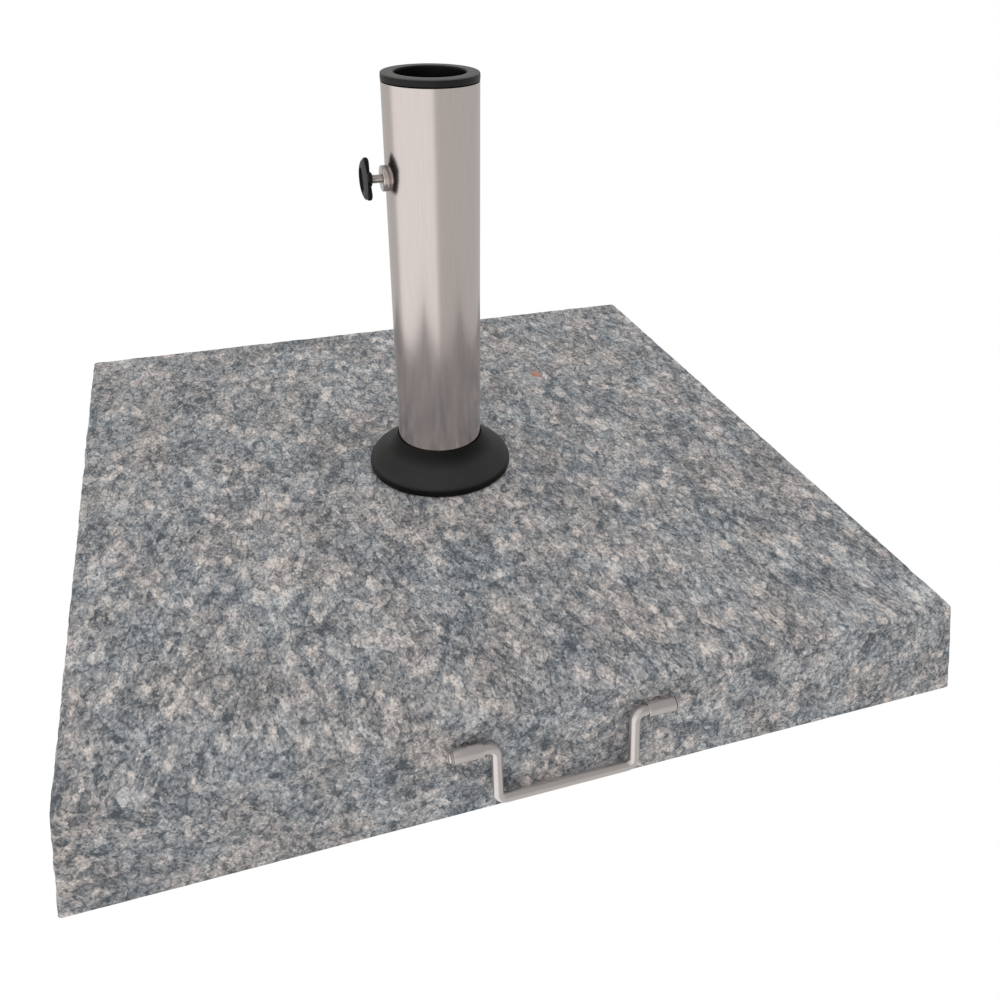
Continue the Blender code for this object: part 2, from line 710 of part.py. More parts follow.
def make_roller_fixings(steel):
    outer = CHEEK_INNER + BRACKET_SHEET + GAP
    end = outer + AXLE_HEAD_HEIGHT
    axle = [
        (0.0, -end),
        (AXLE_HEAD_RADIUS - 0.0010, -end),
        (AXLE_HEAD_RADIUS, -end + 0.0010),
        (AXLE_HEAD_RADIUS, -outer),
        (M6_RADIUS, -outer),
        (M6_RADIUS, end),
        (0.0, end),
    ]
    clip = chamfered_ring(M6_RADIUS + GAP, AXLE_CLIP_RADIUS, outer, outer + AXLE_CLIP_THICKNESS, 0.0004)
    for side_name, side in SIDES:
        centre = (side * ROLLER_X, ROLLER_Y, ROLLER_Z)
        turned(f"roller_axle_{side_name}", axle, steel, 14, centre, ALONG_X)
        turned(f"axle_clip_{side_name}", clip, steel, 14, centre, ALONG_X)
    web_rear = REAR_FACE - NOTCH_DEPTH + GAP + BRACKET_SHEET
    head = web_rear + GAP
    for number, x in enumerate(bracket_screw_places(), start=1):
        screw = [
            (0.0, -BRACKET_SCREW_LENGTH + 0.0012),
            (0.0010, -BRACKET_SCREW_LENGTH + 0.0012),
            (BRACKET_SCREW_RADIUS, -BRACKET_SCREW_LENGTH + 0.0050),
            (BRACKET_SCREW_RADIUS, 0.0),
            (BRACKET_SCREW_HEAD, 0.0),
            (BRACKET_SCREW_HEAD - 0.0002, 0.0012),
            (0.0030, 0.0022),
            (0.0, 0.0024),
        ]
        turned(f"bracket_screw_{number}", screw, steel, 12, (x, head, BRACKET_SCREW_Z), ALONG_Y)


def main():
    clear_scene()
    granite = material("granite", (0.26, 0.25, 0.25), 0.75)
    stainless = material("stainless_steel", (0.62, 0.58, 0.56), 0.22, 1.0)
    black_plastic = material("black_plastic", (0.018, 0.018, 0.019), 0.45)
    zinc = material("zinc_plated_steel", (0.55, 0.56, 0.58), 0.38, 1.0)
    rubber = material("black_rubber", (0.022, 0.022, 0.022), 0.85)
    grey_plastic = material("grey_plastic", (0.22, 0.22, 0.23), 0.55)

    make_slab(granite)
    make_pads(rubber)
    make_tube(stainless)
    make_flange(stainless)
    make_flange_bolts(zinc)
    make_cover(black_plastic)
    make_cap(black_plastic)
    make_insert(black_plastic)
    make_clamp(stainless, black_plastic)
    make_bail(stainless)
    make_handle_fixings(stainless, grey_plastic)
    make_roller_wheels(rubber, grey_plastic)
    make_roller_brackets(stainless)
    make_roller_fixings(zinc)


main()
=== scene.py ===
import math

import bmesh
import bpy
from mathutils import Matrix, Vector, noise


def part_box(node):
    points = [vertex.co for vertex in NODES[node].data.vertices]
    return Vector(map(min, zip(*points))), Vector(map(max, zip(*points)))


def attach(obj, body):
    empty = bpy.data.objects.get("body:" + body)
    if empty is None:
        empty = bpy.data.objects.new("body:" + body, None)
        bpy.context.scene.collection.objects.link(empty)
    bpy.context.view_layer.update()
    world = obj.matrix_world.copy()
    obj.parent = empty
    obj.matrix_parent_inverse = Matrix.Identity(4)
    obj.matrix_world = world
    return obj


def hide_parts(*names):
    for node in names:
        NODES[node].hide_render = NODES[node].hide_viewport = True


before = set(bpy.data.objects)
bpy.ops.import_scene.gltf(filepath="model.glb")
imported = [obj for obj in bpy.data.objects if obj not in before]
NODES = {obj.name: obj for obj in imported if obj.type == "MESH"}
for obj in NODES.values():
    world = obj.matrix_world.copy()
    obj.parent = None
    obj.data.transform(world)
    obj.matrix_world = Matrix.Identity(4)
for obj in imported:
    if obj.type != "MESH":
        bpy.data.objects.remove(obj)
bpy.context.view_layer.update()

ALONG_X = Matrix.Rotation(math.pi / 2, 4, "Y")
ALONG_Y = Matrix.Rotation(-math.pi / 2, 4, "X")
SIDES = (("left", -1), ("right", 1))

# Places read from the frame
SLAB_LOW, SLAB_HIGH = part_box("granite_slab")
TUBE_LOW, TUBE_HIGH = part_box("socket_tube")
CAP_LOW, CAP_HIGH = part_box("top_cap")
COVER_LOW, COVER_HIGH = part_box("foot_cover")
BOSS_LOW, BOSS_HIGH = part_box("clamp_boss")
SCREW_LOW, SCREW_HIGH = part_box("clamp_screw")
KNOB_LOW, KNOB_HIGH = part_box("clamp_knob")
BAIL_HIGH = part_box("handle_bail")[1]
EYE_LOW, EYE_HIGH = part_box("handle_eye_right")
STUD_X = (EYE_LOW.x + EYE_HIGH.x) / 2
SLAB_TOP = SLAB_HIGH.z
TUBE_RADIUS = (TUBE_HIGH.x - TUBE_LOW.x) / 2
CLAMP_Z = (BOSS_LOW.z + BOSS_HIGH.z) / 2

# Measures the frame's boxes do not show
GAP = 0.0003
SLAB_DRAFT = 0.0098
SLAB_HALF = 0.2499
TUBE_WALL = 0.002
CAP_BORE = 0.0203
BOLT_HOLE = 0.0034
SCREW_HOLE = 0.0036
ROD_RADIUS = 0.00285
GROOVE_RADIUS = 0.0022
HANDLE_DROP = 0.0335
ARM_X = 0.0377
TOP_BEND = 0.0050
LOW_BEND = 0.0044
HANDLE_Y = BAIL_HIGH.y - ROD_RADIUS
HANDLE_Z = BAIL_HIGH.z - ROD_RADIUS
HANDLE_LEAN = math.atan2(SLAB_DRAFT, SLAB_HIGH.z - SLAB_LOW.z)


# ---------------------------------------------------------------- mesh helpers

def add_piece(mesh_data, name, body, look, replaced=(), smooth_below=35.0):
    """Turn a bmesh in the row frame into a smooth-shaded piece that rides on a body."""
    bmesh.ops.recalc_face_normals(mesh_data, faces=mesh_data.faces)
    mesh = bpy.data.meshes.new(name)
    mesh_data.to_mesh(mesh)
    mesh_data.free()
    mesh.shade_smooth()
    mesh.set_sharp_from_angle(angle=math.radians(smooth_below))
    mesh.materials.append(look)
    piece = bpy.data.objects.new(name, mesh)
    bpy.context.scene.collection.objects.link(piece)
    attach(piece, body)
    if replaced:
        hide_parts(*replaced)
    return piece


def loft(mesh_data, rings, matrix=Matrix()):
    """Join rings of points; a ring of one point closes an end, and a loop closes on itself."""
    made = [[mesh_data.verts.new(matrix @ Vector(point)) for point in ring] for ring in rings]
    count = max(len(ring) for ring in made)
    pairs = list(zip(made, made[1:]))
    if len(made[0]) > 1 and len(made[-1]) > 1:
        pairs.append((made[-1], made[0]))
    for lower, upper in pairs:
        for step in range(count):
            following = (step + 1) % count
            corners = [lower[step % len(lower)], lower[following % len(lower)]]
            corners += [upper[following % len(upper)], upper[step % len(upper)]]
            mesh_data.faces.new(list(dict.fromkeys(corners)))


def circle(radius, height, segments):
    """A ring of points about Z; radius and height may be functions of the angle."""
    if radius == 0.0:
        return [(0.0, 0.0, height)]
    points = []
    for step in range(segments):
        angle = 2 * math.pi * step / segments
        reach = radius(angle) if callable(radius) else radius
        level = height(angle) if callable(height) else height
        points.append((reach * math.cos(angle), reach * math.sin(angle), level))
    return points


def turn(mesh_data, profile, segments, matrix=Matrix()):
    loft(mesh_data, [circle(radius, height, segments) for radius, height in profile], matrix)


def rounded(profile, radius, steps=4, closed=True):
    """Replace the corners of a (radius, height) profile by small arcs; an open profile keeps its first and
    last points.
    """
    result = []
    count = len(profile)
    for number, corner in enumerate(profile):
        here = Vector(corner)
        before = Vector(profile[number - 1])
        after = Vector(profile[(number + 1) % count])
        if not closed and number in (0, count - 1):
            result.append(tuple(here))
            continue
        reach = min(radius, 0.45 * (before - here).length, 0.45 * (after - here).length)
        start = here + (before - here).normalized() * reach
        end = here + (after - here).normalized() * reach
        for step in range(steps + 1):
            t = step / steps
            point = start * (1 - t) ** 2 + here * 2 * t * (1 - t) + end * t * t
            result.append((point.x, point.y))
    return result


def bezier(start, pull_start, pull_end, end, steps):
    points = []
    for step in range(steps + 1):
        t = step / steps
        weights = ((1 - t) ** 3, 3 * t * (1 - t) ** 2, 3 * t * t * (1 - t), t ** 3)
        controls = (start, pull_start, pull_end, end)
        points.append(tuple(sum(w * c[axis] for w, c in zip(weights, controls)) for axis in (0, 1)))
    return points


def cut(piece, cutter_data, name):
    """Cut a helper shape out of a piece, for good."""
    bmesh.ops.recalc_face_normals(cutter_data, faces=cutter_data.faces)
    mesh = bpy.data.meshes.new(name)
    cutter_data.to_mesh(mesh)
    cutter_data.free()
    cutter = bpy.data.objects.new(name, mesh)
    bpy.context.scene.collection.objects.link(cutter)
    modifier = piece.modifiers.new(name, "BOOLEAN")
    modifier.operation = "DIFFERENCE"
    modifier.solver = "EXACT"
    modifier.object = cutter
    bpy.context.view_layer.update()
    evaluated = piece.evaluated_get(bpy.context.evaluated_depsgraph_get())
    result = bpy.data.meshes.new_from_object(evaluated)
    piece.modifiers.remove(modifier)
    piece.data = result
    bpy.data.objects.remove(cutter)


def add_box(mesh_data, low, high):
    made = bmesh.ops.create_cube(mesh_data, size=1.0)
    bmesh.ops.scale(mesh_data, verts=made["verts"], vec=Vector(high) - Vector(low))
    bmesh.ops.translate(mesh_data, verts=made["verts"], vec=(Vector(high) + Vector(low)) / 2)


# ---------------------------------------------------------------- material helpers

class Look:
    """A node material built with short calls; every texture reads object coordinates in metres."""

    def __init__(self, name):
        self.material = bpy.data.materials.new(name)
        self.material.use_nodes = True
        self.nodes = self.material.node_tree.nodes
        self.links = self.material.node_tree.links
        self.shader = self.nodes["Principled BSDF"]
        self.place = self.nodes.new("ShaderNodeTexCoord").outputs["Object"]

    def feed(self, socket, value):
        if hasattr(value, "is_output"):
            self.links.new(value, socket)
        else:
            socket.default_value = value

    def set(self, **values):
        for name, value in values.items():
            self.feed(self.shader.inputs[name.replace("_", " ")], value)

    def math(self, operation, first, second=0.5, third=0.5, clamp=False):
        node = self.nodes.new("ShaderNodeMath")
        node.operation = operation
        node.use_clamp = clamp
        for socket, value in zip(node.inputs, (first, second, third)):
            self.feed(socket, value)
        return node.outputs[0]

    def scaled(self, vector, scale, offset=(0, 0, 0)):
        node = self.nodes.new("ShaderNodeMapping")
        self.feed(node.inputs["Vector"], vector)
        node.inputs["Scale"].default_value = scale
        node.inputs["Location"].default_value = offset
        return node.outputs[0]

    def noise(self, scale, detail=2.0, rough=0.5, vector=None, offset=0.0):
        node = self.nodes.new("ShaderNodeTexNoise")
        place = self.scaled(vector or self.place, (1, 1, 1), (offset, offset * 0.7, -offset))
        self.feed(node.inputs["Vector"], place)
        node.inputs["Scale"].default_value = scale
        node.inputs["Detail"].default_value = detail
        node.inputs["Roughness"].default_value = rough
        return node.outputs["Fac"]

    def cells(self, scale, vector=None, feature="F1", output="Color"):
        node = self.nodes.new("ShaderNodeTexVoronoi")
        node.feature = feature
        self.feed(node.inputs["Vector"], vector or self.place)
        node.inputs["Scale"].default_value = scale
        return node.outputs[output]

    def channel(self, colour, name="Red"):
        node = self.nodes.new("ShaderNodeSeparateColor")
        self.feed(node.inputs[0], colour)
        return node.outputs[name]

    def spread(self, value, low, high, to_low=0.0, to_high=1.0, kind="LINEAR"):
        node = self.nodes.new("ShaderNodeMapRange")
        node.interpolation_type = kind
        self.feed(node.inputs["Value"], value)
        node.inputs["From Min"].default_value = low
        node.inputs["From Max"].default_value = high
        node.inputs["To Min"].default_value = to_low
        node.inputs["To Max"].default_value = to_high
        return node.outputs[0]

    def ramp(self, value, stops):
        node = self.nodes.new("ShaderNodeValToRGB")
        self.feed(node.inputs[0], value)
        elements = node.color_ramp.elements
        while len(elements) < len(stops):
            elements.new(0.5)
        for element, (position, colour) in zip(elements, stops):
            element.position = position
            element.color = (*colour, 1.0)
        return node.outputs[0]

    def mix(self, factor, first, second, kind="MIX"):
        node = self.nodes.new("ShaderNodeMix")
        node.data_type = "RGBA"
        node.blend_type = kind
        self.feed(node.inputs[0], factor)
        for socket, value in zip(node.inputs[6:8], (first, second)):
            if not hasattr(value, "is_output"):
                value = (*value, 1.0)
            self.feed(socket, value)
        return node.outputs[2]

    def warp(self, scale, amount):
        """Object coordinates pushed about by noise, for ragged outlines."""
        texture = self.nodes.new("ShaderNodeTexNoise")
        self.feed(texture.inputs["Vector"], self.place)
        texture.inputs["Scale"].default_value = scale
        texture.inputs["Detail"].default_value = 3.0
        centred = self.nodes.new("ShaderNodeVectorMath")
        centred.operation = "MULTIPLY_ADD"
        self.feed(centred.inputs[0], texture.outputs["Color"])
        centred.inputs[1].default_value = (amount, amount, amount)
        self.feed(centred.inputs[2], self.place)
        return centred.outputs[0]

    def bump(self, height, distance, strength=1.0, below=None):
        node = self.nodes.new("ShaderNodeBump")
        self.feed(node.inputs["Height"], height)
        node.inputs["Distance"].default_value = distance
        node.inputs["Strength"].default_value = strength
        if below is not None:
            self.links.new(below, node.inputs["Normal"])
        return node.outputs[0]


def granite_look():
    """Grey granite with a rough, flamed face: blue-grey, pale and pinkish-beige crystals."""
    look = Look("granite_rough")
    look.place = look.scaled(look.place, (1.0, 0.60, 1.0))
    ragged = look.warp(150.0, 0.0030)
    clouds = look.noise(34.0, 5.0, 0.75, ragged)
    large = look.channel(look.cells(130.0, ragged))
    medium = look.channel(look.cells(300.0, ragged), "Green")
    small = look.channel(look.cells(720.0), "Blue")
    tiny = look.channel(look.cells(1500.0), "Red")
    total = look.math("MULTIPLY_ADD", clouds, 1.15, -0.095)
    for part, weight in ((large, 0.17), (medium, 0.36), (small, 0.42), (tiny, 0.34)):
        total = look.math("MULTIPLY_ADD", look.math("SUBTRACT", part, 0.5), weight, total)
    blob_cells = look.cells(105.0, look.warp(320.0, 0.0050), output="Distance")
    blob = look.spread(blob_cells, 0.28, 0.44, 1.0, 0.0)
    chosen = look.channel(look.cells(105.0, look.warp(320.0, 0.0050)), "Blue")
    pale = look.math("MULTIPLY", blob, look.math("GREATER_THAN", chosen, 0.66))
    dark = look.math("MULTIPLY", blob, look.math("LESS_THAN", chosen, 0.24))
    total = look.math("MULTIPLY_ADD", pale, 0.22, total)
    total = look.math("MULTIPLY_ADD", dark, -0.24, total)
    seams = look.cells(130.0, ragged, "DISTANCE_TO_EDGE", "Distance")
    total = look.math("ADD", total, look.spread(seams, 0.0, 0.09, -0.20, 0.01))
    stone = look.ramp(total, (
        (0.02, (0.070, 0.082, 0.094)),
        (0.28, (0.160, 0.172, 0.184)),
        (0.50, (0.262, 0.265, 0.270)),
        (0.72, (0.385, 0.378, 0.372)),
        (1.00, (0.600, 0.580, 0.565)),
    ))
    hue = look.spread(look.noise(40.0, 3.0, 0.5, ragged, 7.9), 0.38, 0.66)
    hue = look.math("MULTIPLY_ADD", pale, 0.5, hue)
    warm = look.mix(hue, (0.965, 0.998, 1.022), (1.060, 0.988, 0.950))
    stone = look.mix(1.0, stone, warm, "MULTIPLY")
    speck_cells = look.cells(14.0, ragged, output="Distance")
    speck = look.spread(speck_cells, 0.050, 0.075, 1.0, 0.0)
    rare = look.math("GREATER_THAN", look.channel(look.cells(14.0, ragged), "Green"), 0.93)
    stone = look.mix(look.math("MULTIPLY", speck, rare), stone, (0.46, 0.16, 0.085))
    rough = look.spread(large, 0.0, 1.0, 0.62, 0.86)
    height = look.noise(240.0, 4.0, 0.6, ragged, 2.3)
    height = look.math("MULTIPLY_ADD", look.noise(700.0, 3.0, 0.6), 0.45, height)
    look.set(Base_Color=stone, Roughness=rough, Normal=look.bump(height, 0.0011, 0.9))
    look.shader.inputs["Specular IOR Level"].default_value = 0.35
    return look.material


def steel_look(name, roughness, colour, streak=(60.0, 60.0, 3.0), depth=0.000004):
    """Polished stainless steel with faint drawing lines along one axis and soft smudges."""
    look = Look(name)
    lines = look.noise(1.0, 3.0, 0.6, look.scaled(look.place, [s * 18 for s in streak]))
    smudges = look.noise(22.0, 3.0, 0.55)
    tone = look.spread(lines, 0.3, 0.7, 0.965, 1.02)
    tint = look.nodes.new("ShaderNodeCombineColor")
    for socket, value in zip(tint.inputs, colour):
        look.links.new(look.math("MULTIPLY", tone, value), socket)
    rough = look.math("MULTIPLY_ADD", smudges, 0.05, roughness - 0.025)
    rough = look.math("MULTIPLY_ADD", lines, 0.04, rough)
    look.set(Base_Color=tint.outputs[0], Roughness=rough, Normal=look.bump(lines, depth, 0.6))
    look.shader.inputs["Metallic"].default_value = 1.0
    return look.material


def plastic_look(name, colour, roughness, grain=900.0, gloss=0.5, painted_light=None):
    """Moulded plastic with a fine grain and an uneven sheen; the optional function scales its colour with
    painted highlights and painted shade.
    """
    look = Look(name)
    texture = look.noise(grain, 2.0, 0.5)
    haze = look.noise(30.0, 4.0, 0.6)
    paler = tuple(c * 1.5 for c in colour)
    tint = look.mix(look.spread(haze, 0.42, 0.75, 0.0, 0.55), colour, paler)
    # painted light: the function's painted highlights and painted shade are multiplied into the colour
    if painted_light:
        tint = look.mix(1.0, tint, painted_light(look), "MULTIPLY")
    rough = look.spread(haze, 0.3, 0.7, roughness - 0.05, roughness + 0.06)
    look.set(Base_Color=tint, Roughness=rough, Normal=look.bump(texture, 0.00004, 0.5))
    look.shader.inputs["Specular IOR Level"].default_value = gloss
    return look.material


def axis_distance(look, first, second, second_centre):
    """Distance from the line where first is 0 and second is second_centre, and the coordinates."""
    parts = look.nodes.new("ShaderNodeSeparateXYZ")
    look.links.new(look.place, parts.inputs[0])
    across = look.math("MULTIPLY", parts.outputs[first], parts.outputs[first])
    away = look.math("SUBTRACT", parts.outputs[second], second_centre)
    return look.math("SQRT", look.math("MULTIPLY_ADD", away, away, across)), parts.outputs


def cover_painted_shade(look):
    """The cover is painted darkest in the fold round the neck and on its upright rim: painted shade."""
    reach, parts = axis_distance(look, "X", "Y", 0.0)
    # painted shade in the fold round the neck
    fold = look.spread(reach, TUBE_RADIUS + 0.001, TUBE_RADIUS + 0.011, 0.08, 1.0, "SMOOTHSTEP")
    # painted shade on the upright rim
    rim = look.spread(parts["Z"], COVER_LOW.z + 0.0035, COVER_LOW.z + 0.0065, 0.05, 1.0, "SMOOTHSTEP")
    return look.math("MULTIPLY", fold, rim)


def cap_painted_light(look):
    """The cap's top face is painted paler than its side as a painted highlight, and its bore is painted
    black as painted shade.
    """
    reach, parts = axis_distance(look, "X", "Y", 0.0)
    # painted highlight on the top face
    top = look.spread(parts["Z"], CAP_HIGH.z - 0.0009, CAP_HIGH.z - 0.0002, 0.08, 1.0, "SMOOTHSTEP")
    # painted shade in the bore
    lip = look.spread(reach, CAP_BORE + 0.0002, CAP_BORE + 0.0012, 0.005, 1.0, "SMOOTHSTEP")
    return look.math("MULTIPLY", top, lip)


def knob_painted_light(look):
    """The knob's dish is painted black as painted shade, its flared front is painted pale as a painted
    highlight, and the lobes lie between.
    """
    reach, parts = axis_distance(look, "Y", "Z", CLAMP_Z)
    # painted shade in the dish
    dish = look.spread(reach, 0.0068, 0.0074, 0.01, 1.0, "SMOOTHSTEP")
    # painted highlight on the flared front; the lobes behind it keep the plain darker colour
    lobes = look.spread(parts["X"], KNOB_LOW.x + 0.0005, KNOB_LOW.x + 0.0012, 1.0, 0.16, "SMOOTHSTEP")
    behind = look.math("GREATER_THAN", parts["X"], KNOB_LOW.x + 0.0003)
    return look.math("MULTIPLY", look.math("MAXIMUM", dish, behind), lobes)


def rubber_look():
    look = Look("black_rubber")
    dust = look.noise(45.0, 5.0, 0.65)
    tint = look.mix(look.spread(dust, 0.45, 0.8), (0.016, 0.016, 0.016), (0.055, 0.052, 0.048))
    look.set(Base_Color=tint, Roughness=look.spread(dust, 0.3, 0.7, 0.72, 0.9))
    look.set(Normal=look.bump(look.noise(800.0, 2.0), 0.00008, 0.6))
    return look.material


GRANITE = granite_look()
TUBE_STEEL = steel_look("tube_stainless", 0.19, (0.690, 0.625, 0.603), depth=0.000002)
BRIGHT_STEEL = steel_look("bright_stainless", 0.20, (0.78, 0.73, 0.71), (8.0, 60.0, 60.0), 0.00001)
SATIN_STEEL = steel_look("satin_stainless", 0.27, (0.74, 0.695, 0.68), (8.0, 60.0, 60.0), 0.00001)
SHEET_STEEL = steel_look("sheet_stainless", 0.34, (0.62, 0.60, 0.585), (60.0, 60.0, 5.0), 0.00001)
ZINC = steel_look("zinc_plating", 0.36, (0.56, 0.58, 0.60), (30.0, 30.0, 30.0), 0.00002)
# the cover's colour is darkened by painted shade in its neck fold and on its rim
COVER_PLASTIC = plastic_look("cover_plastic", (0.0230, 0.0222, 0.0218), 0.42, gloss=0.22, painted_light=cover_painted_shade)
# the cap's colour is its top face's painted highlight; its side is darker and its bore gets painted shade
CAP_PLASTIC = plastic_look("cap_plastic", (0.082, 0.081, 0.080), 0.40, gloss=0.28, painted_light=cap_painted_light)
CUP_PLASTIC = plastic_look("cup_plastic", (0.0058, 0.0056, 0.0055), 0.45)
# the knob's colour is its front's painted highlight; its lobes are darker and its dish gets painted shade
KNOB_PLASTIC = plastic_look("knob_plastic", (0.060, 0.060, 0.061), 0.45, 1200.0, 0.12, knob_painted_light)
TIP_PLASTIC = plastic_look("tip_plastic", (0.010, 0.010, 0.010), 0.45)
GREY_PLASTIC = plastic_look("grey_plastic", (0.20, 0.20, 0.21), 0.5)
RUBBER = rubber_look()


# ---------------------------------------------------------------- granite slab

STONE_STEP = 0.0025
STONE_EDGE = 0.003
STONE_RELIEF = 0.0008


def grid_lines(low, high):
    """Coordinates across the slab, closer together in the rounded edges."""
    edge = [STONE_EDGE * part for part in (0.0, 0.25, 0.5, 0.75, 1.0)]
    inside = high - low - 2 * STONE_EDGE
    count = round(inside / STONE_STEP)
    middle = [low + STONE_EDGE + inside * step / count for step in range(1, count)]
    return [low + e for e in edge] + middle + [high - e for e in reversed(edge)]


def stone_point(point):
    """Where a point of an upright box ends up: rounded edge, rough relief inwards, sloping sides."""
    low, high = SLAB_LOW.z + STONE_EDGE, SLAB_HIGH.z - STONE_EDGE
    reach = SLAB_HALF - STONE_EDGE
    core = Vector((
        min(max(point.x, -reach), reach),
        min(max(point.y, -reach), reach),
        min(max(point.z, low), high),
    ))
    out = (point - core).normalized()
    lumps = noise.fractal(point * 62.0, 1.0, 2.0, 3)
    chips = noise.fractal(point * 170.0 + Vector((4.0, 9.0, 2.0)), 0.9, 2.1, 3)
    relief = 0.5 + 0.34 * lumps + 0.26 * chips
    calm = min(max((math.hypot(point.x, point.y) - 0.050) / 0.012, 0.0), 1.0)
    if out.y < -0.5:
        from_stud = math.hypot(abs(point.x) - STUD_X, point.z - HANDLE_Z)
        calm = min(max((from_stud - 0.004) / 0.005, 0.0), 1.0)
    side_gain = 1.0 + 0.5 * (1.0 - abs(out.z))
    depth = STONE_RELIEF * side_gain * min(max(relief, 0.0), 1.2) * (0.25 + 0.75 * calm)
    if out.z < -0.5:
        depth *= 0.15
    placed = core + out * (STONE_EDGE - depth)
    rise = (placed.z - SLAB_LOW.z) / (SLAB_HIGH.z - SLAB_LOW.z)
    inset = 1.0 - SLAB_DRAFT / SLAB_HALF * rise
    return Vector((placed.x * inset, placed.y * inset, placed.z))


def make_stone():
    data = bmesh.new()
    made = {}

    def vertex(x, y, z):
        key = (round(x * 1e6), round(y * 1e6), round(z * 1e6))
        if key not in made:
            made[key] = data.verts.new(stone_point(Vector((x, y, z))))
        return made[key]

    xs = ys = grid_lines(-SLAB_HALF, SLAB_HALF)
    zs = grid_lines(SLAB_LOW.z, SLAB_HIGH.z)

    def patch(firsts, seconds, corner):
        for a, b in zip(firsts, firsts[1:]):
            for c, d in zip(seconds, seconds[1:]):
                data.faces.new([vertex(*corner(*pair)) for pair in ((a, c), (b, c), (b, d), (a, d))])

    patch(xs, ys, lambda x, y: (x, y, SLAB_HIGH.z))
    for end in (-SLAB_HALF, SLAB_HALF):
        patch(xs, zs, lambda x, z, y=end: (x, y, z))
        patch(ys, zs, lambda y, z, x=end: (x, y, z))
    patch(xs, ys[:6], lambda x, y: (x, y, SLAB_LOW.z))
    patch(xs, ys[-6:], lambda x, y: (x, y, SLAB_LOW.z))
    patch(xs[:6], ys[5:-5], lambda x, y: (x, y, SLAB_LOW.z))
    patch(xs[-6:], ys[5:-5], lambda x, y: (x, y, SLAB_LOW.z))
    inner_x, inner_y = xs[5:-5], ys[5:-5]
    border = [vertex(x, inner_y[0], SLAB_LOW.z) for x in inner_x]
    border += [vertex(inner_x[-1], y, SLAB_LOW.z) for y in inner_y[1:]]
    border += [vertex(x, inner_y[-1], SLAB_LOW.z) for x in inner_x[-2::-1]]
    border += [vertex(inner_x[0], y, SLAB_LOW.z) for y in inner_y[-2:0:-1]]
    data.faces.new(border)
    return add_piece(data, "granite_stone", "base", GRANITE, ["granite_slab"], 60.0)


def cut_stone(stone):
    """Roller notches, bolt holes with counterbores, and the holes of the handle's studs."""
    holes = bmesh.new()
    for side_name, _ in SIDES:
        low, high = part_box(f"roller_bracket_{side_name}")
        middle = (low.x + high.x) / 2
        half = (high.x - low.x) / 2 + 0.0035
        notch_low = (middle - half, low.y - GAP, SLAB_LOW.z - 0.01)
        add_box(holes, notch_low, (middle + half, SLAB_HIGH.y + 0.01, high.z + 0.0015))
        anchor_low, anchor_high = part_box(f"handle_anchor_{side_name}")
        centre = ((anchor_low.x + anchor_high.x) / 2, anchor_low.y, (anchor_low.z + anchor_high.z) / 2)
        radius = (anchor_high.x - anchor_low.x) / 2 + GAP
        profile = [(0.0, -0.007), (0.0021, -0.007), (0.0021, -0.0002)]
        profile += [(radius, -0.0002), (radius, 0.031), (0.0, 0.031)]
        turn(holes, profile, 32, Matrix.Translation(centre) @ ALONG_Y)
    for number in range(1, 5):
        washer_low, washer_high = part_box(f"flange_washer_{number}")
        x, y = (washer_low.x + washer_high.x) / 2, (washer_low.y + washer_high.y) / 2
        seat = washer_high.z + GAP
        wide = (washer_high.x - washer_low.x) / 2 + 0.002
        profile = [(0.0, SLAB_LOW.z - 0.01), (wide, SLAB_LOW.z - 0.01), (wide, seat)]
        profile += [(BOLT_HOLE, seat), (BOLT_HOLE, SLAB_TOP + 0.01), (0.0, SLAB_TOP + 0.01)]
        turn(holes, profile, 32, Matrix.Translation((x, y, 0)))
    cut(stone, holes, "stone_holes")


# ---------------------------------------------------------------- tube, cap and cover

def make_tube():
    """Thin tube; rings above and below the screw hole keep the hole's ragged faces under the boss."""
    outer, inner = TUBE_RADIUS, TUBE_RADIUS - TUBE_WALL
    near = 0.0085
    heights = [CLAMP_Z - near, CLAMP_Z + near]
    profile = [(outer, z) for z in heights]
    profile += rounded([(outer, TUBE_HIGH.z), (inner, TUBE_HIGH.z)], 0.0004, 3, False)
    profile += [(inner, z) for z in reversed(heights)]
    profile += [(inner, TUBE_LOW.z), (outer, TUBE_LOW.z)]
    data = bmesh.new()
    turn(data, profile, 192)
    tube = add_piece(data, "tube_shell", "base", TUBE_STEEL, ["socket_tube"])
    hole = bmesh.new()
    place = Matrix.Translation((0, 0, CLAMP_Z)) @ ALONG_X
    start, stop = -outer - 0.004, -0.02
    turn(hole, [(0.0, start), (SCREW_HOLE, start), (SCREW_HOLE, stop), (0.0, stop)], 32, place)
    cut(tube, hole, "screw_hole")


def make_cap():
    outer = (CAP_HIGH.x - CAP_LOW.x) / 2
    skirt = TUBE_RADIUS - TUBE_WALL - 0.0004
    bore = CAP_BORE
    lip = TUBE_HIGH.z + GAP
    profile = rounded([
        (bore, CAP_LOW.z),
        (skirt, CAP_LOW.z),
        (skirt, lip),
        (outer, lip),
        (outer, CAP_HIGH.z),
        (bore, CAP_HIGH.z),
    ], 0.0011, 5)
    data = bmesh.new()
    turn(data, profile, 128)
    add_piece(data, "cap_sleeve", "base", CAP_PLASTIC, ["top_cap"])


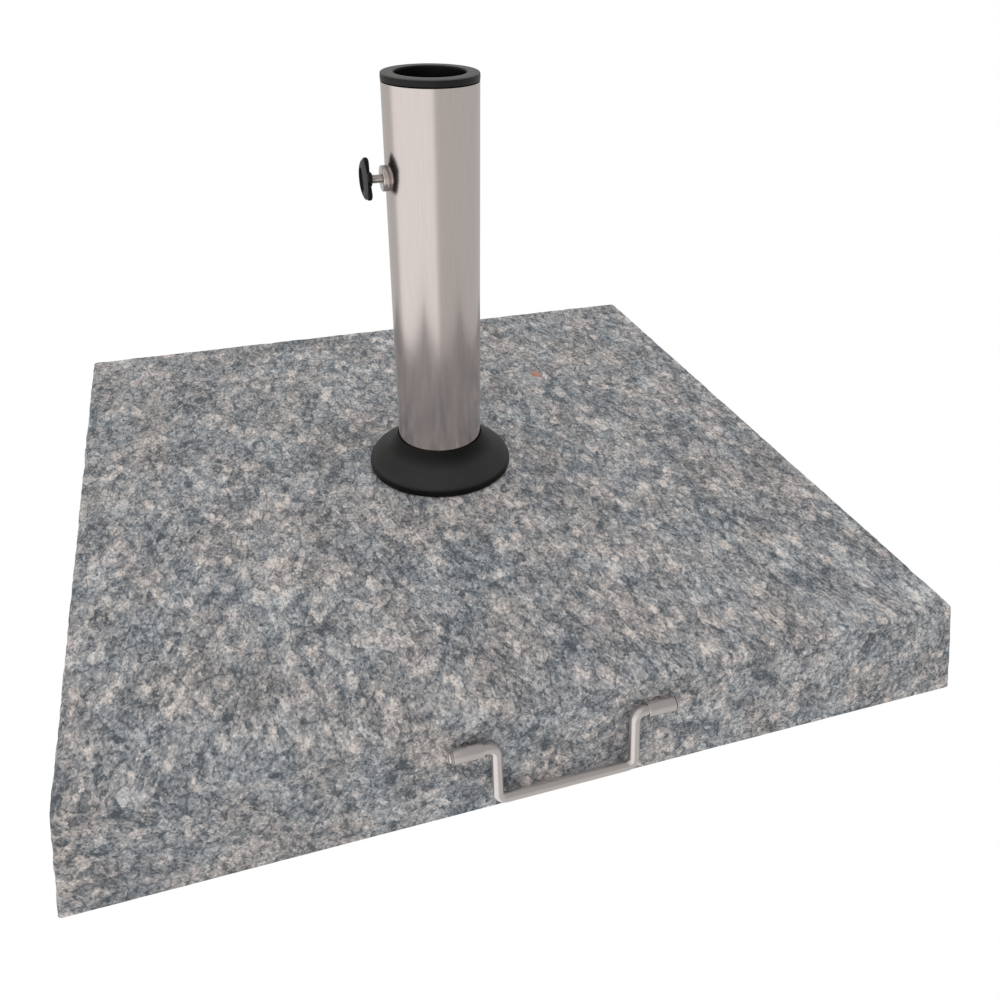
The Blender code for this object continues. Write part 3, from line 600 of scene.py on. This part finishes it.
def make_cover():
    base = COVER_LOW.z
    height = COVER_HIGH.z - base
    rim = (COVER_HIGH.x - COVER_LOW.x) / 2
    neck = TUBE_RADIUS + GAP
    outer = [(rim - 0.0007, 0.0), (rim, 0.0008), (rim, 0.0040), (rim - 0.0001, 0.0046)]
    shoulder, collar = (rim - 0.0004, 0.0054), (neck + 0.0010, height - 0.0004)
    outer += bezier(shoulder, (0.0452, 0.0128), (0.0332, 0.0130), collar, 22)
    outer += [(neck + 0.0008, height), (neck + 0.0002, height), (neck, height - 0.0003)]
    inner = [(neck, height - 0.0030)]
    inner += bezier((neck + 0.0012, 0.0172), (0.0352, 0.0100), (0.0440, 0.0098), (rim - 0.0018, 0.0056), 10)
    inner += [(rim - 0.0018, 0.0)]
    data = bmesh.new()
    turn(data, [(radius, base + z) for radius, z in outer + inner], 144)
    add_piece(data, "cover_bell", "foot_cover", COVER_PLASTIC, ["foot_cover"])


# ---------------------------------------------------------------- clamp

def make_boss():
    place = Matrix.Translation((0, 0, CLAMP_Z)) @ ALONG_X
    radius = (BOSS_HIGH.z - BOSS_LOW.z) / 2
    bore, inside = 0.0028, -0.022
    corners = [(bore, inside), (radius, inside), (radius, BOSS_LOW.x), (bore, BOSS_LOW.x)]
    data = bmesh.new()
    turn(data, rounded(corners, 0.0007, 4), 72, place)
    boss = add_piece(data, "boss_bush", "base", BRIGHT_STEEL, ["clamp_boss"])
    saddle = bmesh.new()
    reach = TUBE_RADIUS + 0.0001
    low, high = CLAMP_Z - 0.02, CLAMP_Z + 0.02
    turn(saddle, [(0.0, low), (reach, low), (reach, high), (0.0, high)], 160)
    cut(boss, saddle, "saddle")


def make_screw():
    """M5 spindle with its thread cut into it, ending in the plain spigot that holds the tip."""
    pitch, crest, root, spigot = 0.0008, 0.00248, 0.00208, 0.0016
    start, stop = SCREW_LOW.x, SCREW_LOW.x + 0.0145
    segments, per_turn = 32, 10
    rings = [circle(0.0, start, segments), circle(root - 0.0001, start, segments)]
    total = round((stop - start) / pitch * per_turn)
    for step in range(1, total):
        height = start + (stop - start) * step / total

        def radius(angle, height=height):
            phase = ((height - start) / pitch + angle / (2 * math.pi)) % 1.0
            wave = abs(phase - 0.5) * 2.0
            ends = min(1.0, (height - start) / 0.0008, (stop - height) / 0.0008)
            return root + (crest - root) * min(1.0, wave * 1.25) * ends

        rings.append(circle(radius, height, segments))
    rings += [circle(root - 0.0001, stop, segments), circle(spigot, stop + 0.0001, segments)]
    rings += [circle(spigot, SCREW_HIGH.x, segments), circle(0.0, SCREW_HIGH.x, segments)]
    data = bmesh.new()
    loft(data, rings, Matrix.Translation((0, 0, CLAMP_Z)) @ ALONG_X)
    add_piece(data, "screw_spindle", "clamp_screw", BRIGHT_STEEL, ["clamp_screw"], 50.0)


def make_knob():
    """Star knob: a flared front round a dish (its black is painted shade), five lobes with rounded backs,
    and a hub.
    """
    segments, lobes, facing = 160, 5, math.radians(34.7)
    front = KNOB_LOW.x - 0.0012
    back, hub_end, inside = front + 0.0047, KNOB_HIGH.x - 0.0005, KNOB_LOW.x + 0.0016
    lobe = 0.0122

    def star(outer, inner):
        def radius(angle):
            wave = 0.5 + 0.5 * math.cos(lobes * (angle - facing))
            wave = wave * wave * (3 - 2 * wave)
            return inner + (outer - inner) * wave ** 0.8
        return radius

    shapes = [
        (0.0, front + 0.0013), (0.0050, front + 0.0013), (0.0064, front + 0.0011),
        (0.0070, front + 0.0004), (0.0073, front), (0.0079, front + 0.0001), (0.0090, front + 0.0004),
        (0.0101, front + 0.0009), (0.0109, front + 0.0014), (0.0112, front + 0.0017),
        (0.0111, front + 0.0019), (star(lobe - 0.0003, 0.0064), front + 0.0020),
        (star(lobe, 0.0061), front + 0.0024), (star(lobe, 0.0060), back - 0.0008),
        (star(lobe - 0.0003, 0.0058), back - 0.0003), (star(lobe - 0.0009, 0.0056), back),
        (0.0044, back), (0.0041, back + 0.0001), (0.0041, hub_end - 0.0003),
        (0.0038, hub_end), (0.0027, hub_end), (0.0026, hub_end - 0.0003), (0.0026, inside), (0.0, inside),
    ]
    data = bmesh.new()
    rings = [circle(radius, height, segments) for radius, height in shapes]
    loft(data, rings, Matrix.Translation((0, 0, CLAMP_Z)) @ ALONG_X)
    add_piece(data, "star_knob", "clamp_screw", KNOB_PLASTIC, ["clamp_knob"], 40.0)


# ---------------------------------------------------------------- handle

def handle_path():
    """Centre line of the bent rod from its left end to its right, as (x, z, radius)."""
    end_x = BAIL_HIGH.x
    low = HANDLE_Z - HANDLE_DROP
    clip_low, clip_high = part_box("handle_clip_right")
    groove = (clip_low.x - 0.0002, clip_high.x + 0.0002)
    half = [
        (end_x, HANDLE_Z, ROD_RADIUS - 0.0007),
        (end_x - 0.0002, HANDLE_Z, ROD_RADIUS - 0.0003),
        (end_x - 0.0006, HANDLE_Z, ROD_RADIUS),
        (groove[1] + 0.00002, HANDLE_Z, ROD_RADIUS),
        (groove[1], HANDLE_Z, GROOVE_RADIUS),
        (groove[0], HANDLE_Z, GROOVE_RADIUS),
        (groove[0] - 0.00002, HANDLE_Z, ROD_RADIUS),
    ]
    for step in range(17):
        angle = math.radians(90 + 90 * step / 16)
        x = ARM_X + TOP_BEND + TOP_BEND * math.cos(angle)
        half.append((x, HANDLE_Z - TOP_BEND + TOP_BEND * math.sin(angle), ROD_RADIUS))
    for step in range(17):
        angle = math.radians(-90 * step / 16)
        x = ARM_X - LOW_BEND + LOW_BEND * math.cos(angle)
        half.append((x, low + LOW_BEND + LOW_BEND * math.sin(angle), ROD_RADIUS))
    return [(-x, z, radius) for x, z, radius in half] + half[::-1]


def make_bail():
    path = handle_path()
    sides = 40
    rings = [[(path[0][0], HANDLE_Y, path[0][1])]]
    for number, (x, z, radius) in enumerate(path):
        before, after = path[max(number - 1, 0)], path[min(number + 1, len(path) - 1)]
        along = Vector((after[0] - before[0], 0, after[1] - before[1])).normalized()
        up = along.cross(Vector((0, 1, 0)))
        ring = []
        for step in range(sides):
            angle = 2 * math.pi * step / sides
            offset = Vector((0, 1, 0)) * math.cos(angle) + up * math.sin(angle)
            ring.append(Vector((x, HANDLE_Y, z)) + radius * offset)
        rings.append(ring)
    rings.append([(path[-1][0], HANDLE_Y, path[-1][1])])
    pivot = Matrix.Translation((0, HANDLE_Y, HANDLE_Z))
    data = bmesh.new()
    loft(data, rings, pivot @ Matrix.Rotation(-HANDLE_LEAN, 4, "X") @ pivot.inverted())
    add_piece(data, "handle_rod", "handle", SATIN_STEEL, ["handle_bail"], 50.0)


def make_eyes():
    for side_name, _ in SIDES:
        low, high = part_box(f"handle_eye_{side_name}")
        middle, half = (low.x + high.x) / 2, (high.x - low.x) / 2
        outer = (high.z - low.z) / 2
        bore = ROD_RADIUS + 0.0002
        profile = rounded([(bore, -half), (outer, -half), (outer, half), (bore, half)], 0.0003, 3)
        data = bmesh.new()
        turn(data, profile, 56, Matrix.Translation((middle, HANDLE_Y, HANDLE_Z)) @ ALONG_X)
        name = f"eye_sleeve_{side_name}"
        add_piece(data, name, "base", SATIN_STEEL, [f"handle_eye_{side_name}"])
        weld = bmesh.new()
        end = high.y - HANDLE_Y
        profile = [(0.0, outer - 0.0008), (0.0026, outer - 0.0008), (0.0021, outer)]
        profile += [(0.0019, outer + 0.0005), (0.0019, end), (0.0, end)]
        turn(weld, profile, 32, Matrix.Translation((middle, HANDLE_Y, HANDLE_Z)) @ ALONG_Y)
        add_piece(weld, f"eye_stud_{side_name}", "base", SATIN_STEEL)


# ---------------------------------------------------------------- rollers and feet

def ribbed(radius, height, half):
    """Height of a hub point by angle: the sunk web between boss and rim carries six ribs."""
    sunk = abs(height) < half - 0.0022
    if not (sunk and 0.0068 < radius < 0.0118):
        return height

    def level(angle):
        away = abs((math.degrees(angle) + 30) % 60 - 30)
        rib = 1.0 - min(max((away - 2.6) / 2.2, 0.0), 1.0)
        return math.copysign(abs(height) + rib * 0.0020, height)

    return level


def make_rollers():
    for side_name, _ in SIDES:
        low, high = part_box(f"roller_tyre_{side_name}")
        centre = (low + high) / 2
        half, radius = (high.x - low.x) / 2, (high.z - low.z) / 2
        place = Matrix.Translation(centre) @ ALONG_X
        seat = 0.0145
        profile = [(seat, -half), (seat, half)]
        outer = [(radius - 0.0026, half), (radius - 0.0010, half - 0.0006)]
        outer += [(radius - 0.0003, half - 0.0018), (radius, half - 0.0034)]
        outer += [(radius, half - 0.0062), (radius - 0.0006, half - 0.0066)]
        outer += [(radius - 0.0006, half - 0.0074), (radius, half - 0.0078)]
        profile += outer + [(r, -x) for r, x in reversed(outer)]
        data = bmesh.new()
        turn(data, rounded(profile, 0.0003, 2), 96, place)
        body = f"roller_{side_name}"
        add_piece(data, f"tyre_{side_name}", body, RUBBER, [f"roller_tyre_{side_name}"])
        hub = bmesh.new()
        rim = 0.0142
        profile = [(0.0033, -half), (0.0062, -half), (0.0070, -half + 0.003), (0.0114, -half + 0.003)]
        profile += [(0.0121, -half + 0.0005), (rim, -half + 0.0005), (rim, half - 0.0005)]
        profile += [(0.0121, half - 0.0005), (0.0114, half - 0.003), (0.0070, half - 0.003)]
        profile += [(0.0062, half), (0.0033, half)]
        rings = [circle(r, ribbed(r, x, half), 144) for r, x in rounded(profile, 0.0005, 3)]
        loft(hub, rings, place)
        add_piece(hub, f"hub_{side_name}", body, GREY_PLASTIC, [f"roller_hub_{side_name}"])


def make_pads():
    for row in ("front", "rear"):
        for side_name, _ in SIDES:
            node = f"foot_pad_{row}_{side_name}"
            low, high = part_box(node)
            centre = ((low.x + high.x) / 2, (low.y + high.y) / 2, 0)
            radius = (high.x - low.x) / 2
            profile = [(0.0, low.z), (radius, low.z), (radius, high.z), (0.0, high.z)]
            data = bmesh.new()
            turn(data, rounded(profile, 0.0009, 4, False), 64, Matrix.Translation(centre))
            add_piece(data, f"pad_{row}_{side_name}", "base", RUBBER, [node])


def dress_cad_nodes():
    """Materials for the CAD nodes that stay in view as they are."""
    looks = {
        "flange_": ZINC,
        "foot_flange": SHEET_STEEL,
        "pole_rest_cup": CUP_PLASTIC,
        "pressure_tip": TIP_PLASTIC,
        "handle_anchor": GREY_PLASTIC,
        "handle_clip": SATIN_STEEL,
        "roller_bracket": SHEET_STEEL,
        "roller_axle": ZINC,
        "axle_clip": ZINC,
        "bracket_screw": ZINC,
    }
    for name, item in NODES.items():
        for start, look in looks.items():
            if name.startswith(start):
                item.data.materials.clear()
                item.data.materials.append(look)


# ---------------------------------------------------------------- studio

def emission(name, colour, strength):
    made = bpy.data.materials.new(name)
    made.use_nodes = True
    nodes, links = made.node_tree.nodes, made.node_tree.links
    nodes.clear()
    output = nodes.new("ShaderNodeOutputMaterial")
    light = nodes.new("ShaderNodeEmission")
    light.inputs["Color"].default_value = (*colour, 1.0)
    light.inputs["Strength"].default_value = strength
    links.new(light.outputs[0], output.inputs["Surface"])
    return made, light


def make_floor():
    """An evenly lit white sweep that throws light back and takes no shadow."""
    reach = 12.0
    corners = [(-reach, -reach, 0), (reach, -reach, 0), (reach, reach, 0), (-reach, reach, 0)]
    mesh = bpy.data.meshes.new("floor")
    mesh.from_pydata(corners, [], [(0, 1, 2, 3)])
    floor = bpy.data.objects.new("floor", mesh)
    bpy.context.scene.collection.objects.link(floor)
    look, _ = emission("white_sweep", (1, 1, 1), 1.0)
    look.cycles.emission_sampling = "NONE"
    mesh.materials.append(look)
    floor.visible_glossy = False


def make_reflection_dome():
    """A studio seen only in reflections: a bright wall to the left, dimmer ones on the other sides."""
    data = bmesh.new()
    bmesh.ops.create_icosphere(data, subdivisions=4, radius=4.0)
    mesh = bpy.data.meshes.new("reflection_dome")
    data.to_mesh(mesh)
    data.free()
    dome = bpy.data.objects.new("reflection_dome", mesh)
    bpy.context.scene.collection.objects.link(dome)
    made, light = emission("studio_walls", (1, 1, 1), 1.0)
    nodes, links = made.node_tree.nodes, made.node_tree.links
    place = nodes.new("ShaderNodeTexCoord")
    parts = nodes.new("ShaderNodeSeparateXYZ")
    links.new(place.outputs["Object"], parts.inputs[0])
    angle = nodes.new("ShaderNodeMath")
    angle.operation = "ARCTAN2"
    links.new(parts.outputs["Y"], angle.inputs[0])
    links.new(parts.outputs["X"], angle.inputs[1])
    share = nodes.new("ShaderNodeMapRange")
    share.inputs["From Min"].default_value = -math.pi
    share.inputs["From Max"].default_value = math.pi
    links.new(angle.outputs[0], share.inputs["Value"])
    ramp = nodes.new("ShaderNodeValToRGB")
    links.new(share.outputs[0], ramp.inputs[0])
    bright, dim, plain = (1.0, 0.985, 0.98), (0.575, 0.57, 0.555), (0.555, 0.565, 0.555)
    stops = [
        (0.0, bright),
        (share_of(-101), bright),
        (share_of(-94), dim),
        (share_of(-20), dim),
        (share_of(-2), plain),
        (share_of(70), plain),
        (share_of(84), dim),
        (share_of(147), dim),
        (share_of(160), bright),
        (1.0, bright),
    ]
    elements = ramp.color_ramp.elements
    while len(elements) < len(stops):
        elements.new(0.5)
    for element, (position, colour) in zip(elements, stops):
        element.position = position
        element.color = (*colour, 1.0)
    links.new(ramp.outputs[0], light.inputs["Color"])
    above = nodes.new("ShaderNodeMapRange")
    links.new(parts.outputs["Z"], above.inputs["Value"])
    above.inputs["From Min"].default_value = 0.0
    above.inputs["From Max"].default_value = 1.5
    above.inputs["To Min"].default_value = 1.0
    above.inputs["To Max"].default_value = 0.70
    links.new(above.outputs[0], light.inputs["Strength"])
    made.cycles.emission_sampling = "NONE"
    mesh.materials.append(made)
    for ray in ("camera", "diffuse", "transmission", "shadow", "volume_scatter"):
        setattr(dome, f"visible_{ray}", False)


def share_of(degrees):
    """Position on the dome's colour ramp of a direction counted from +X towards +Y."""
    return (degrees + 180) / 360


def make_light():
    world = bpy.data.worlds.new("studio")
    bpy.context.scene.world = world
    world.use_nodes = True
    back = world.node_tree.nodes["Background"]
    back.inputs["Color"].default_value = (1.0, 1.0, 1.0, 1.0)
    back.inputs["Strength"].default_value = 1.0
    for name, place, size, power in (
        ("key_light", (-0.9, -0.3, 2.2), 1.6, 5.0),
        ("fill_light", (1.4, -1.3, 1.2), 1.4, 2.5),
    ):
        data = bpy.data.lights.new(name, "AREA")
        data.size = size
        data.energy = power
        lamp = bpy.data.objects.new(name, data)
        lamp.location = place
        lamp.rotation_euler = (-Vector(place)).to_track_quat("-Z", "Y").to_euler()
        lamp.visible_glossy = False
        bpy.context.scene.collection.objects.link(lamp)
    bpy.context.scene.view_settings.view_transform = "Standard"


def make_camera():
    """Camera in front and to the left of the slab, 34 cm above its top face."""
    data = bpy.data.cameras.new("camera")
    data.sensor_width = 36.0
    data.lens = 32.94
    camera = bpy.data.objects.new("camera", data)
    camera.location = (-0.1359, -0.5407, SLAB_TOP + 0.3374)
    camera.rotation_euler = (math.radians(56.30), math.radians(-0.76), math.radians(-18.00))
    bpy.context.scene.collection.objects.link(camera)
    bpy.context.scene.camera = camera


make_camera()
cut_stone(make_stone())
make_tube()
make_cap()
make_cover()
make_boss()
make_screw()
make_knob()
make_bail()
make_eyes()
make_rollers()
make_pads()
dress_cad_nodes()
make_floor()
make_reflection_dome()
make_light()
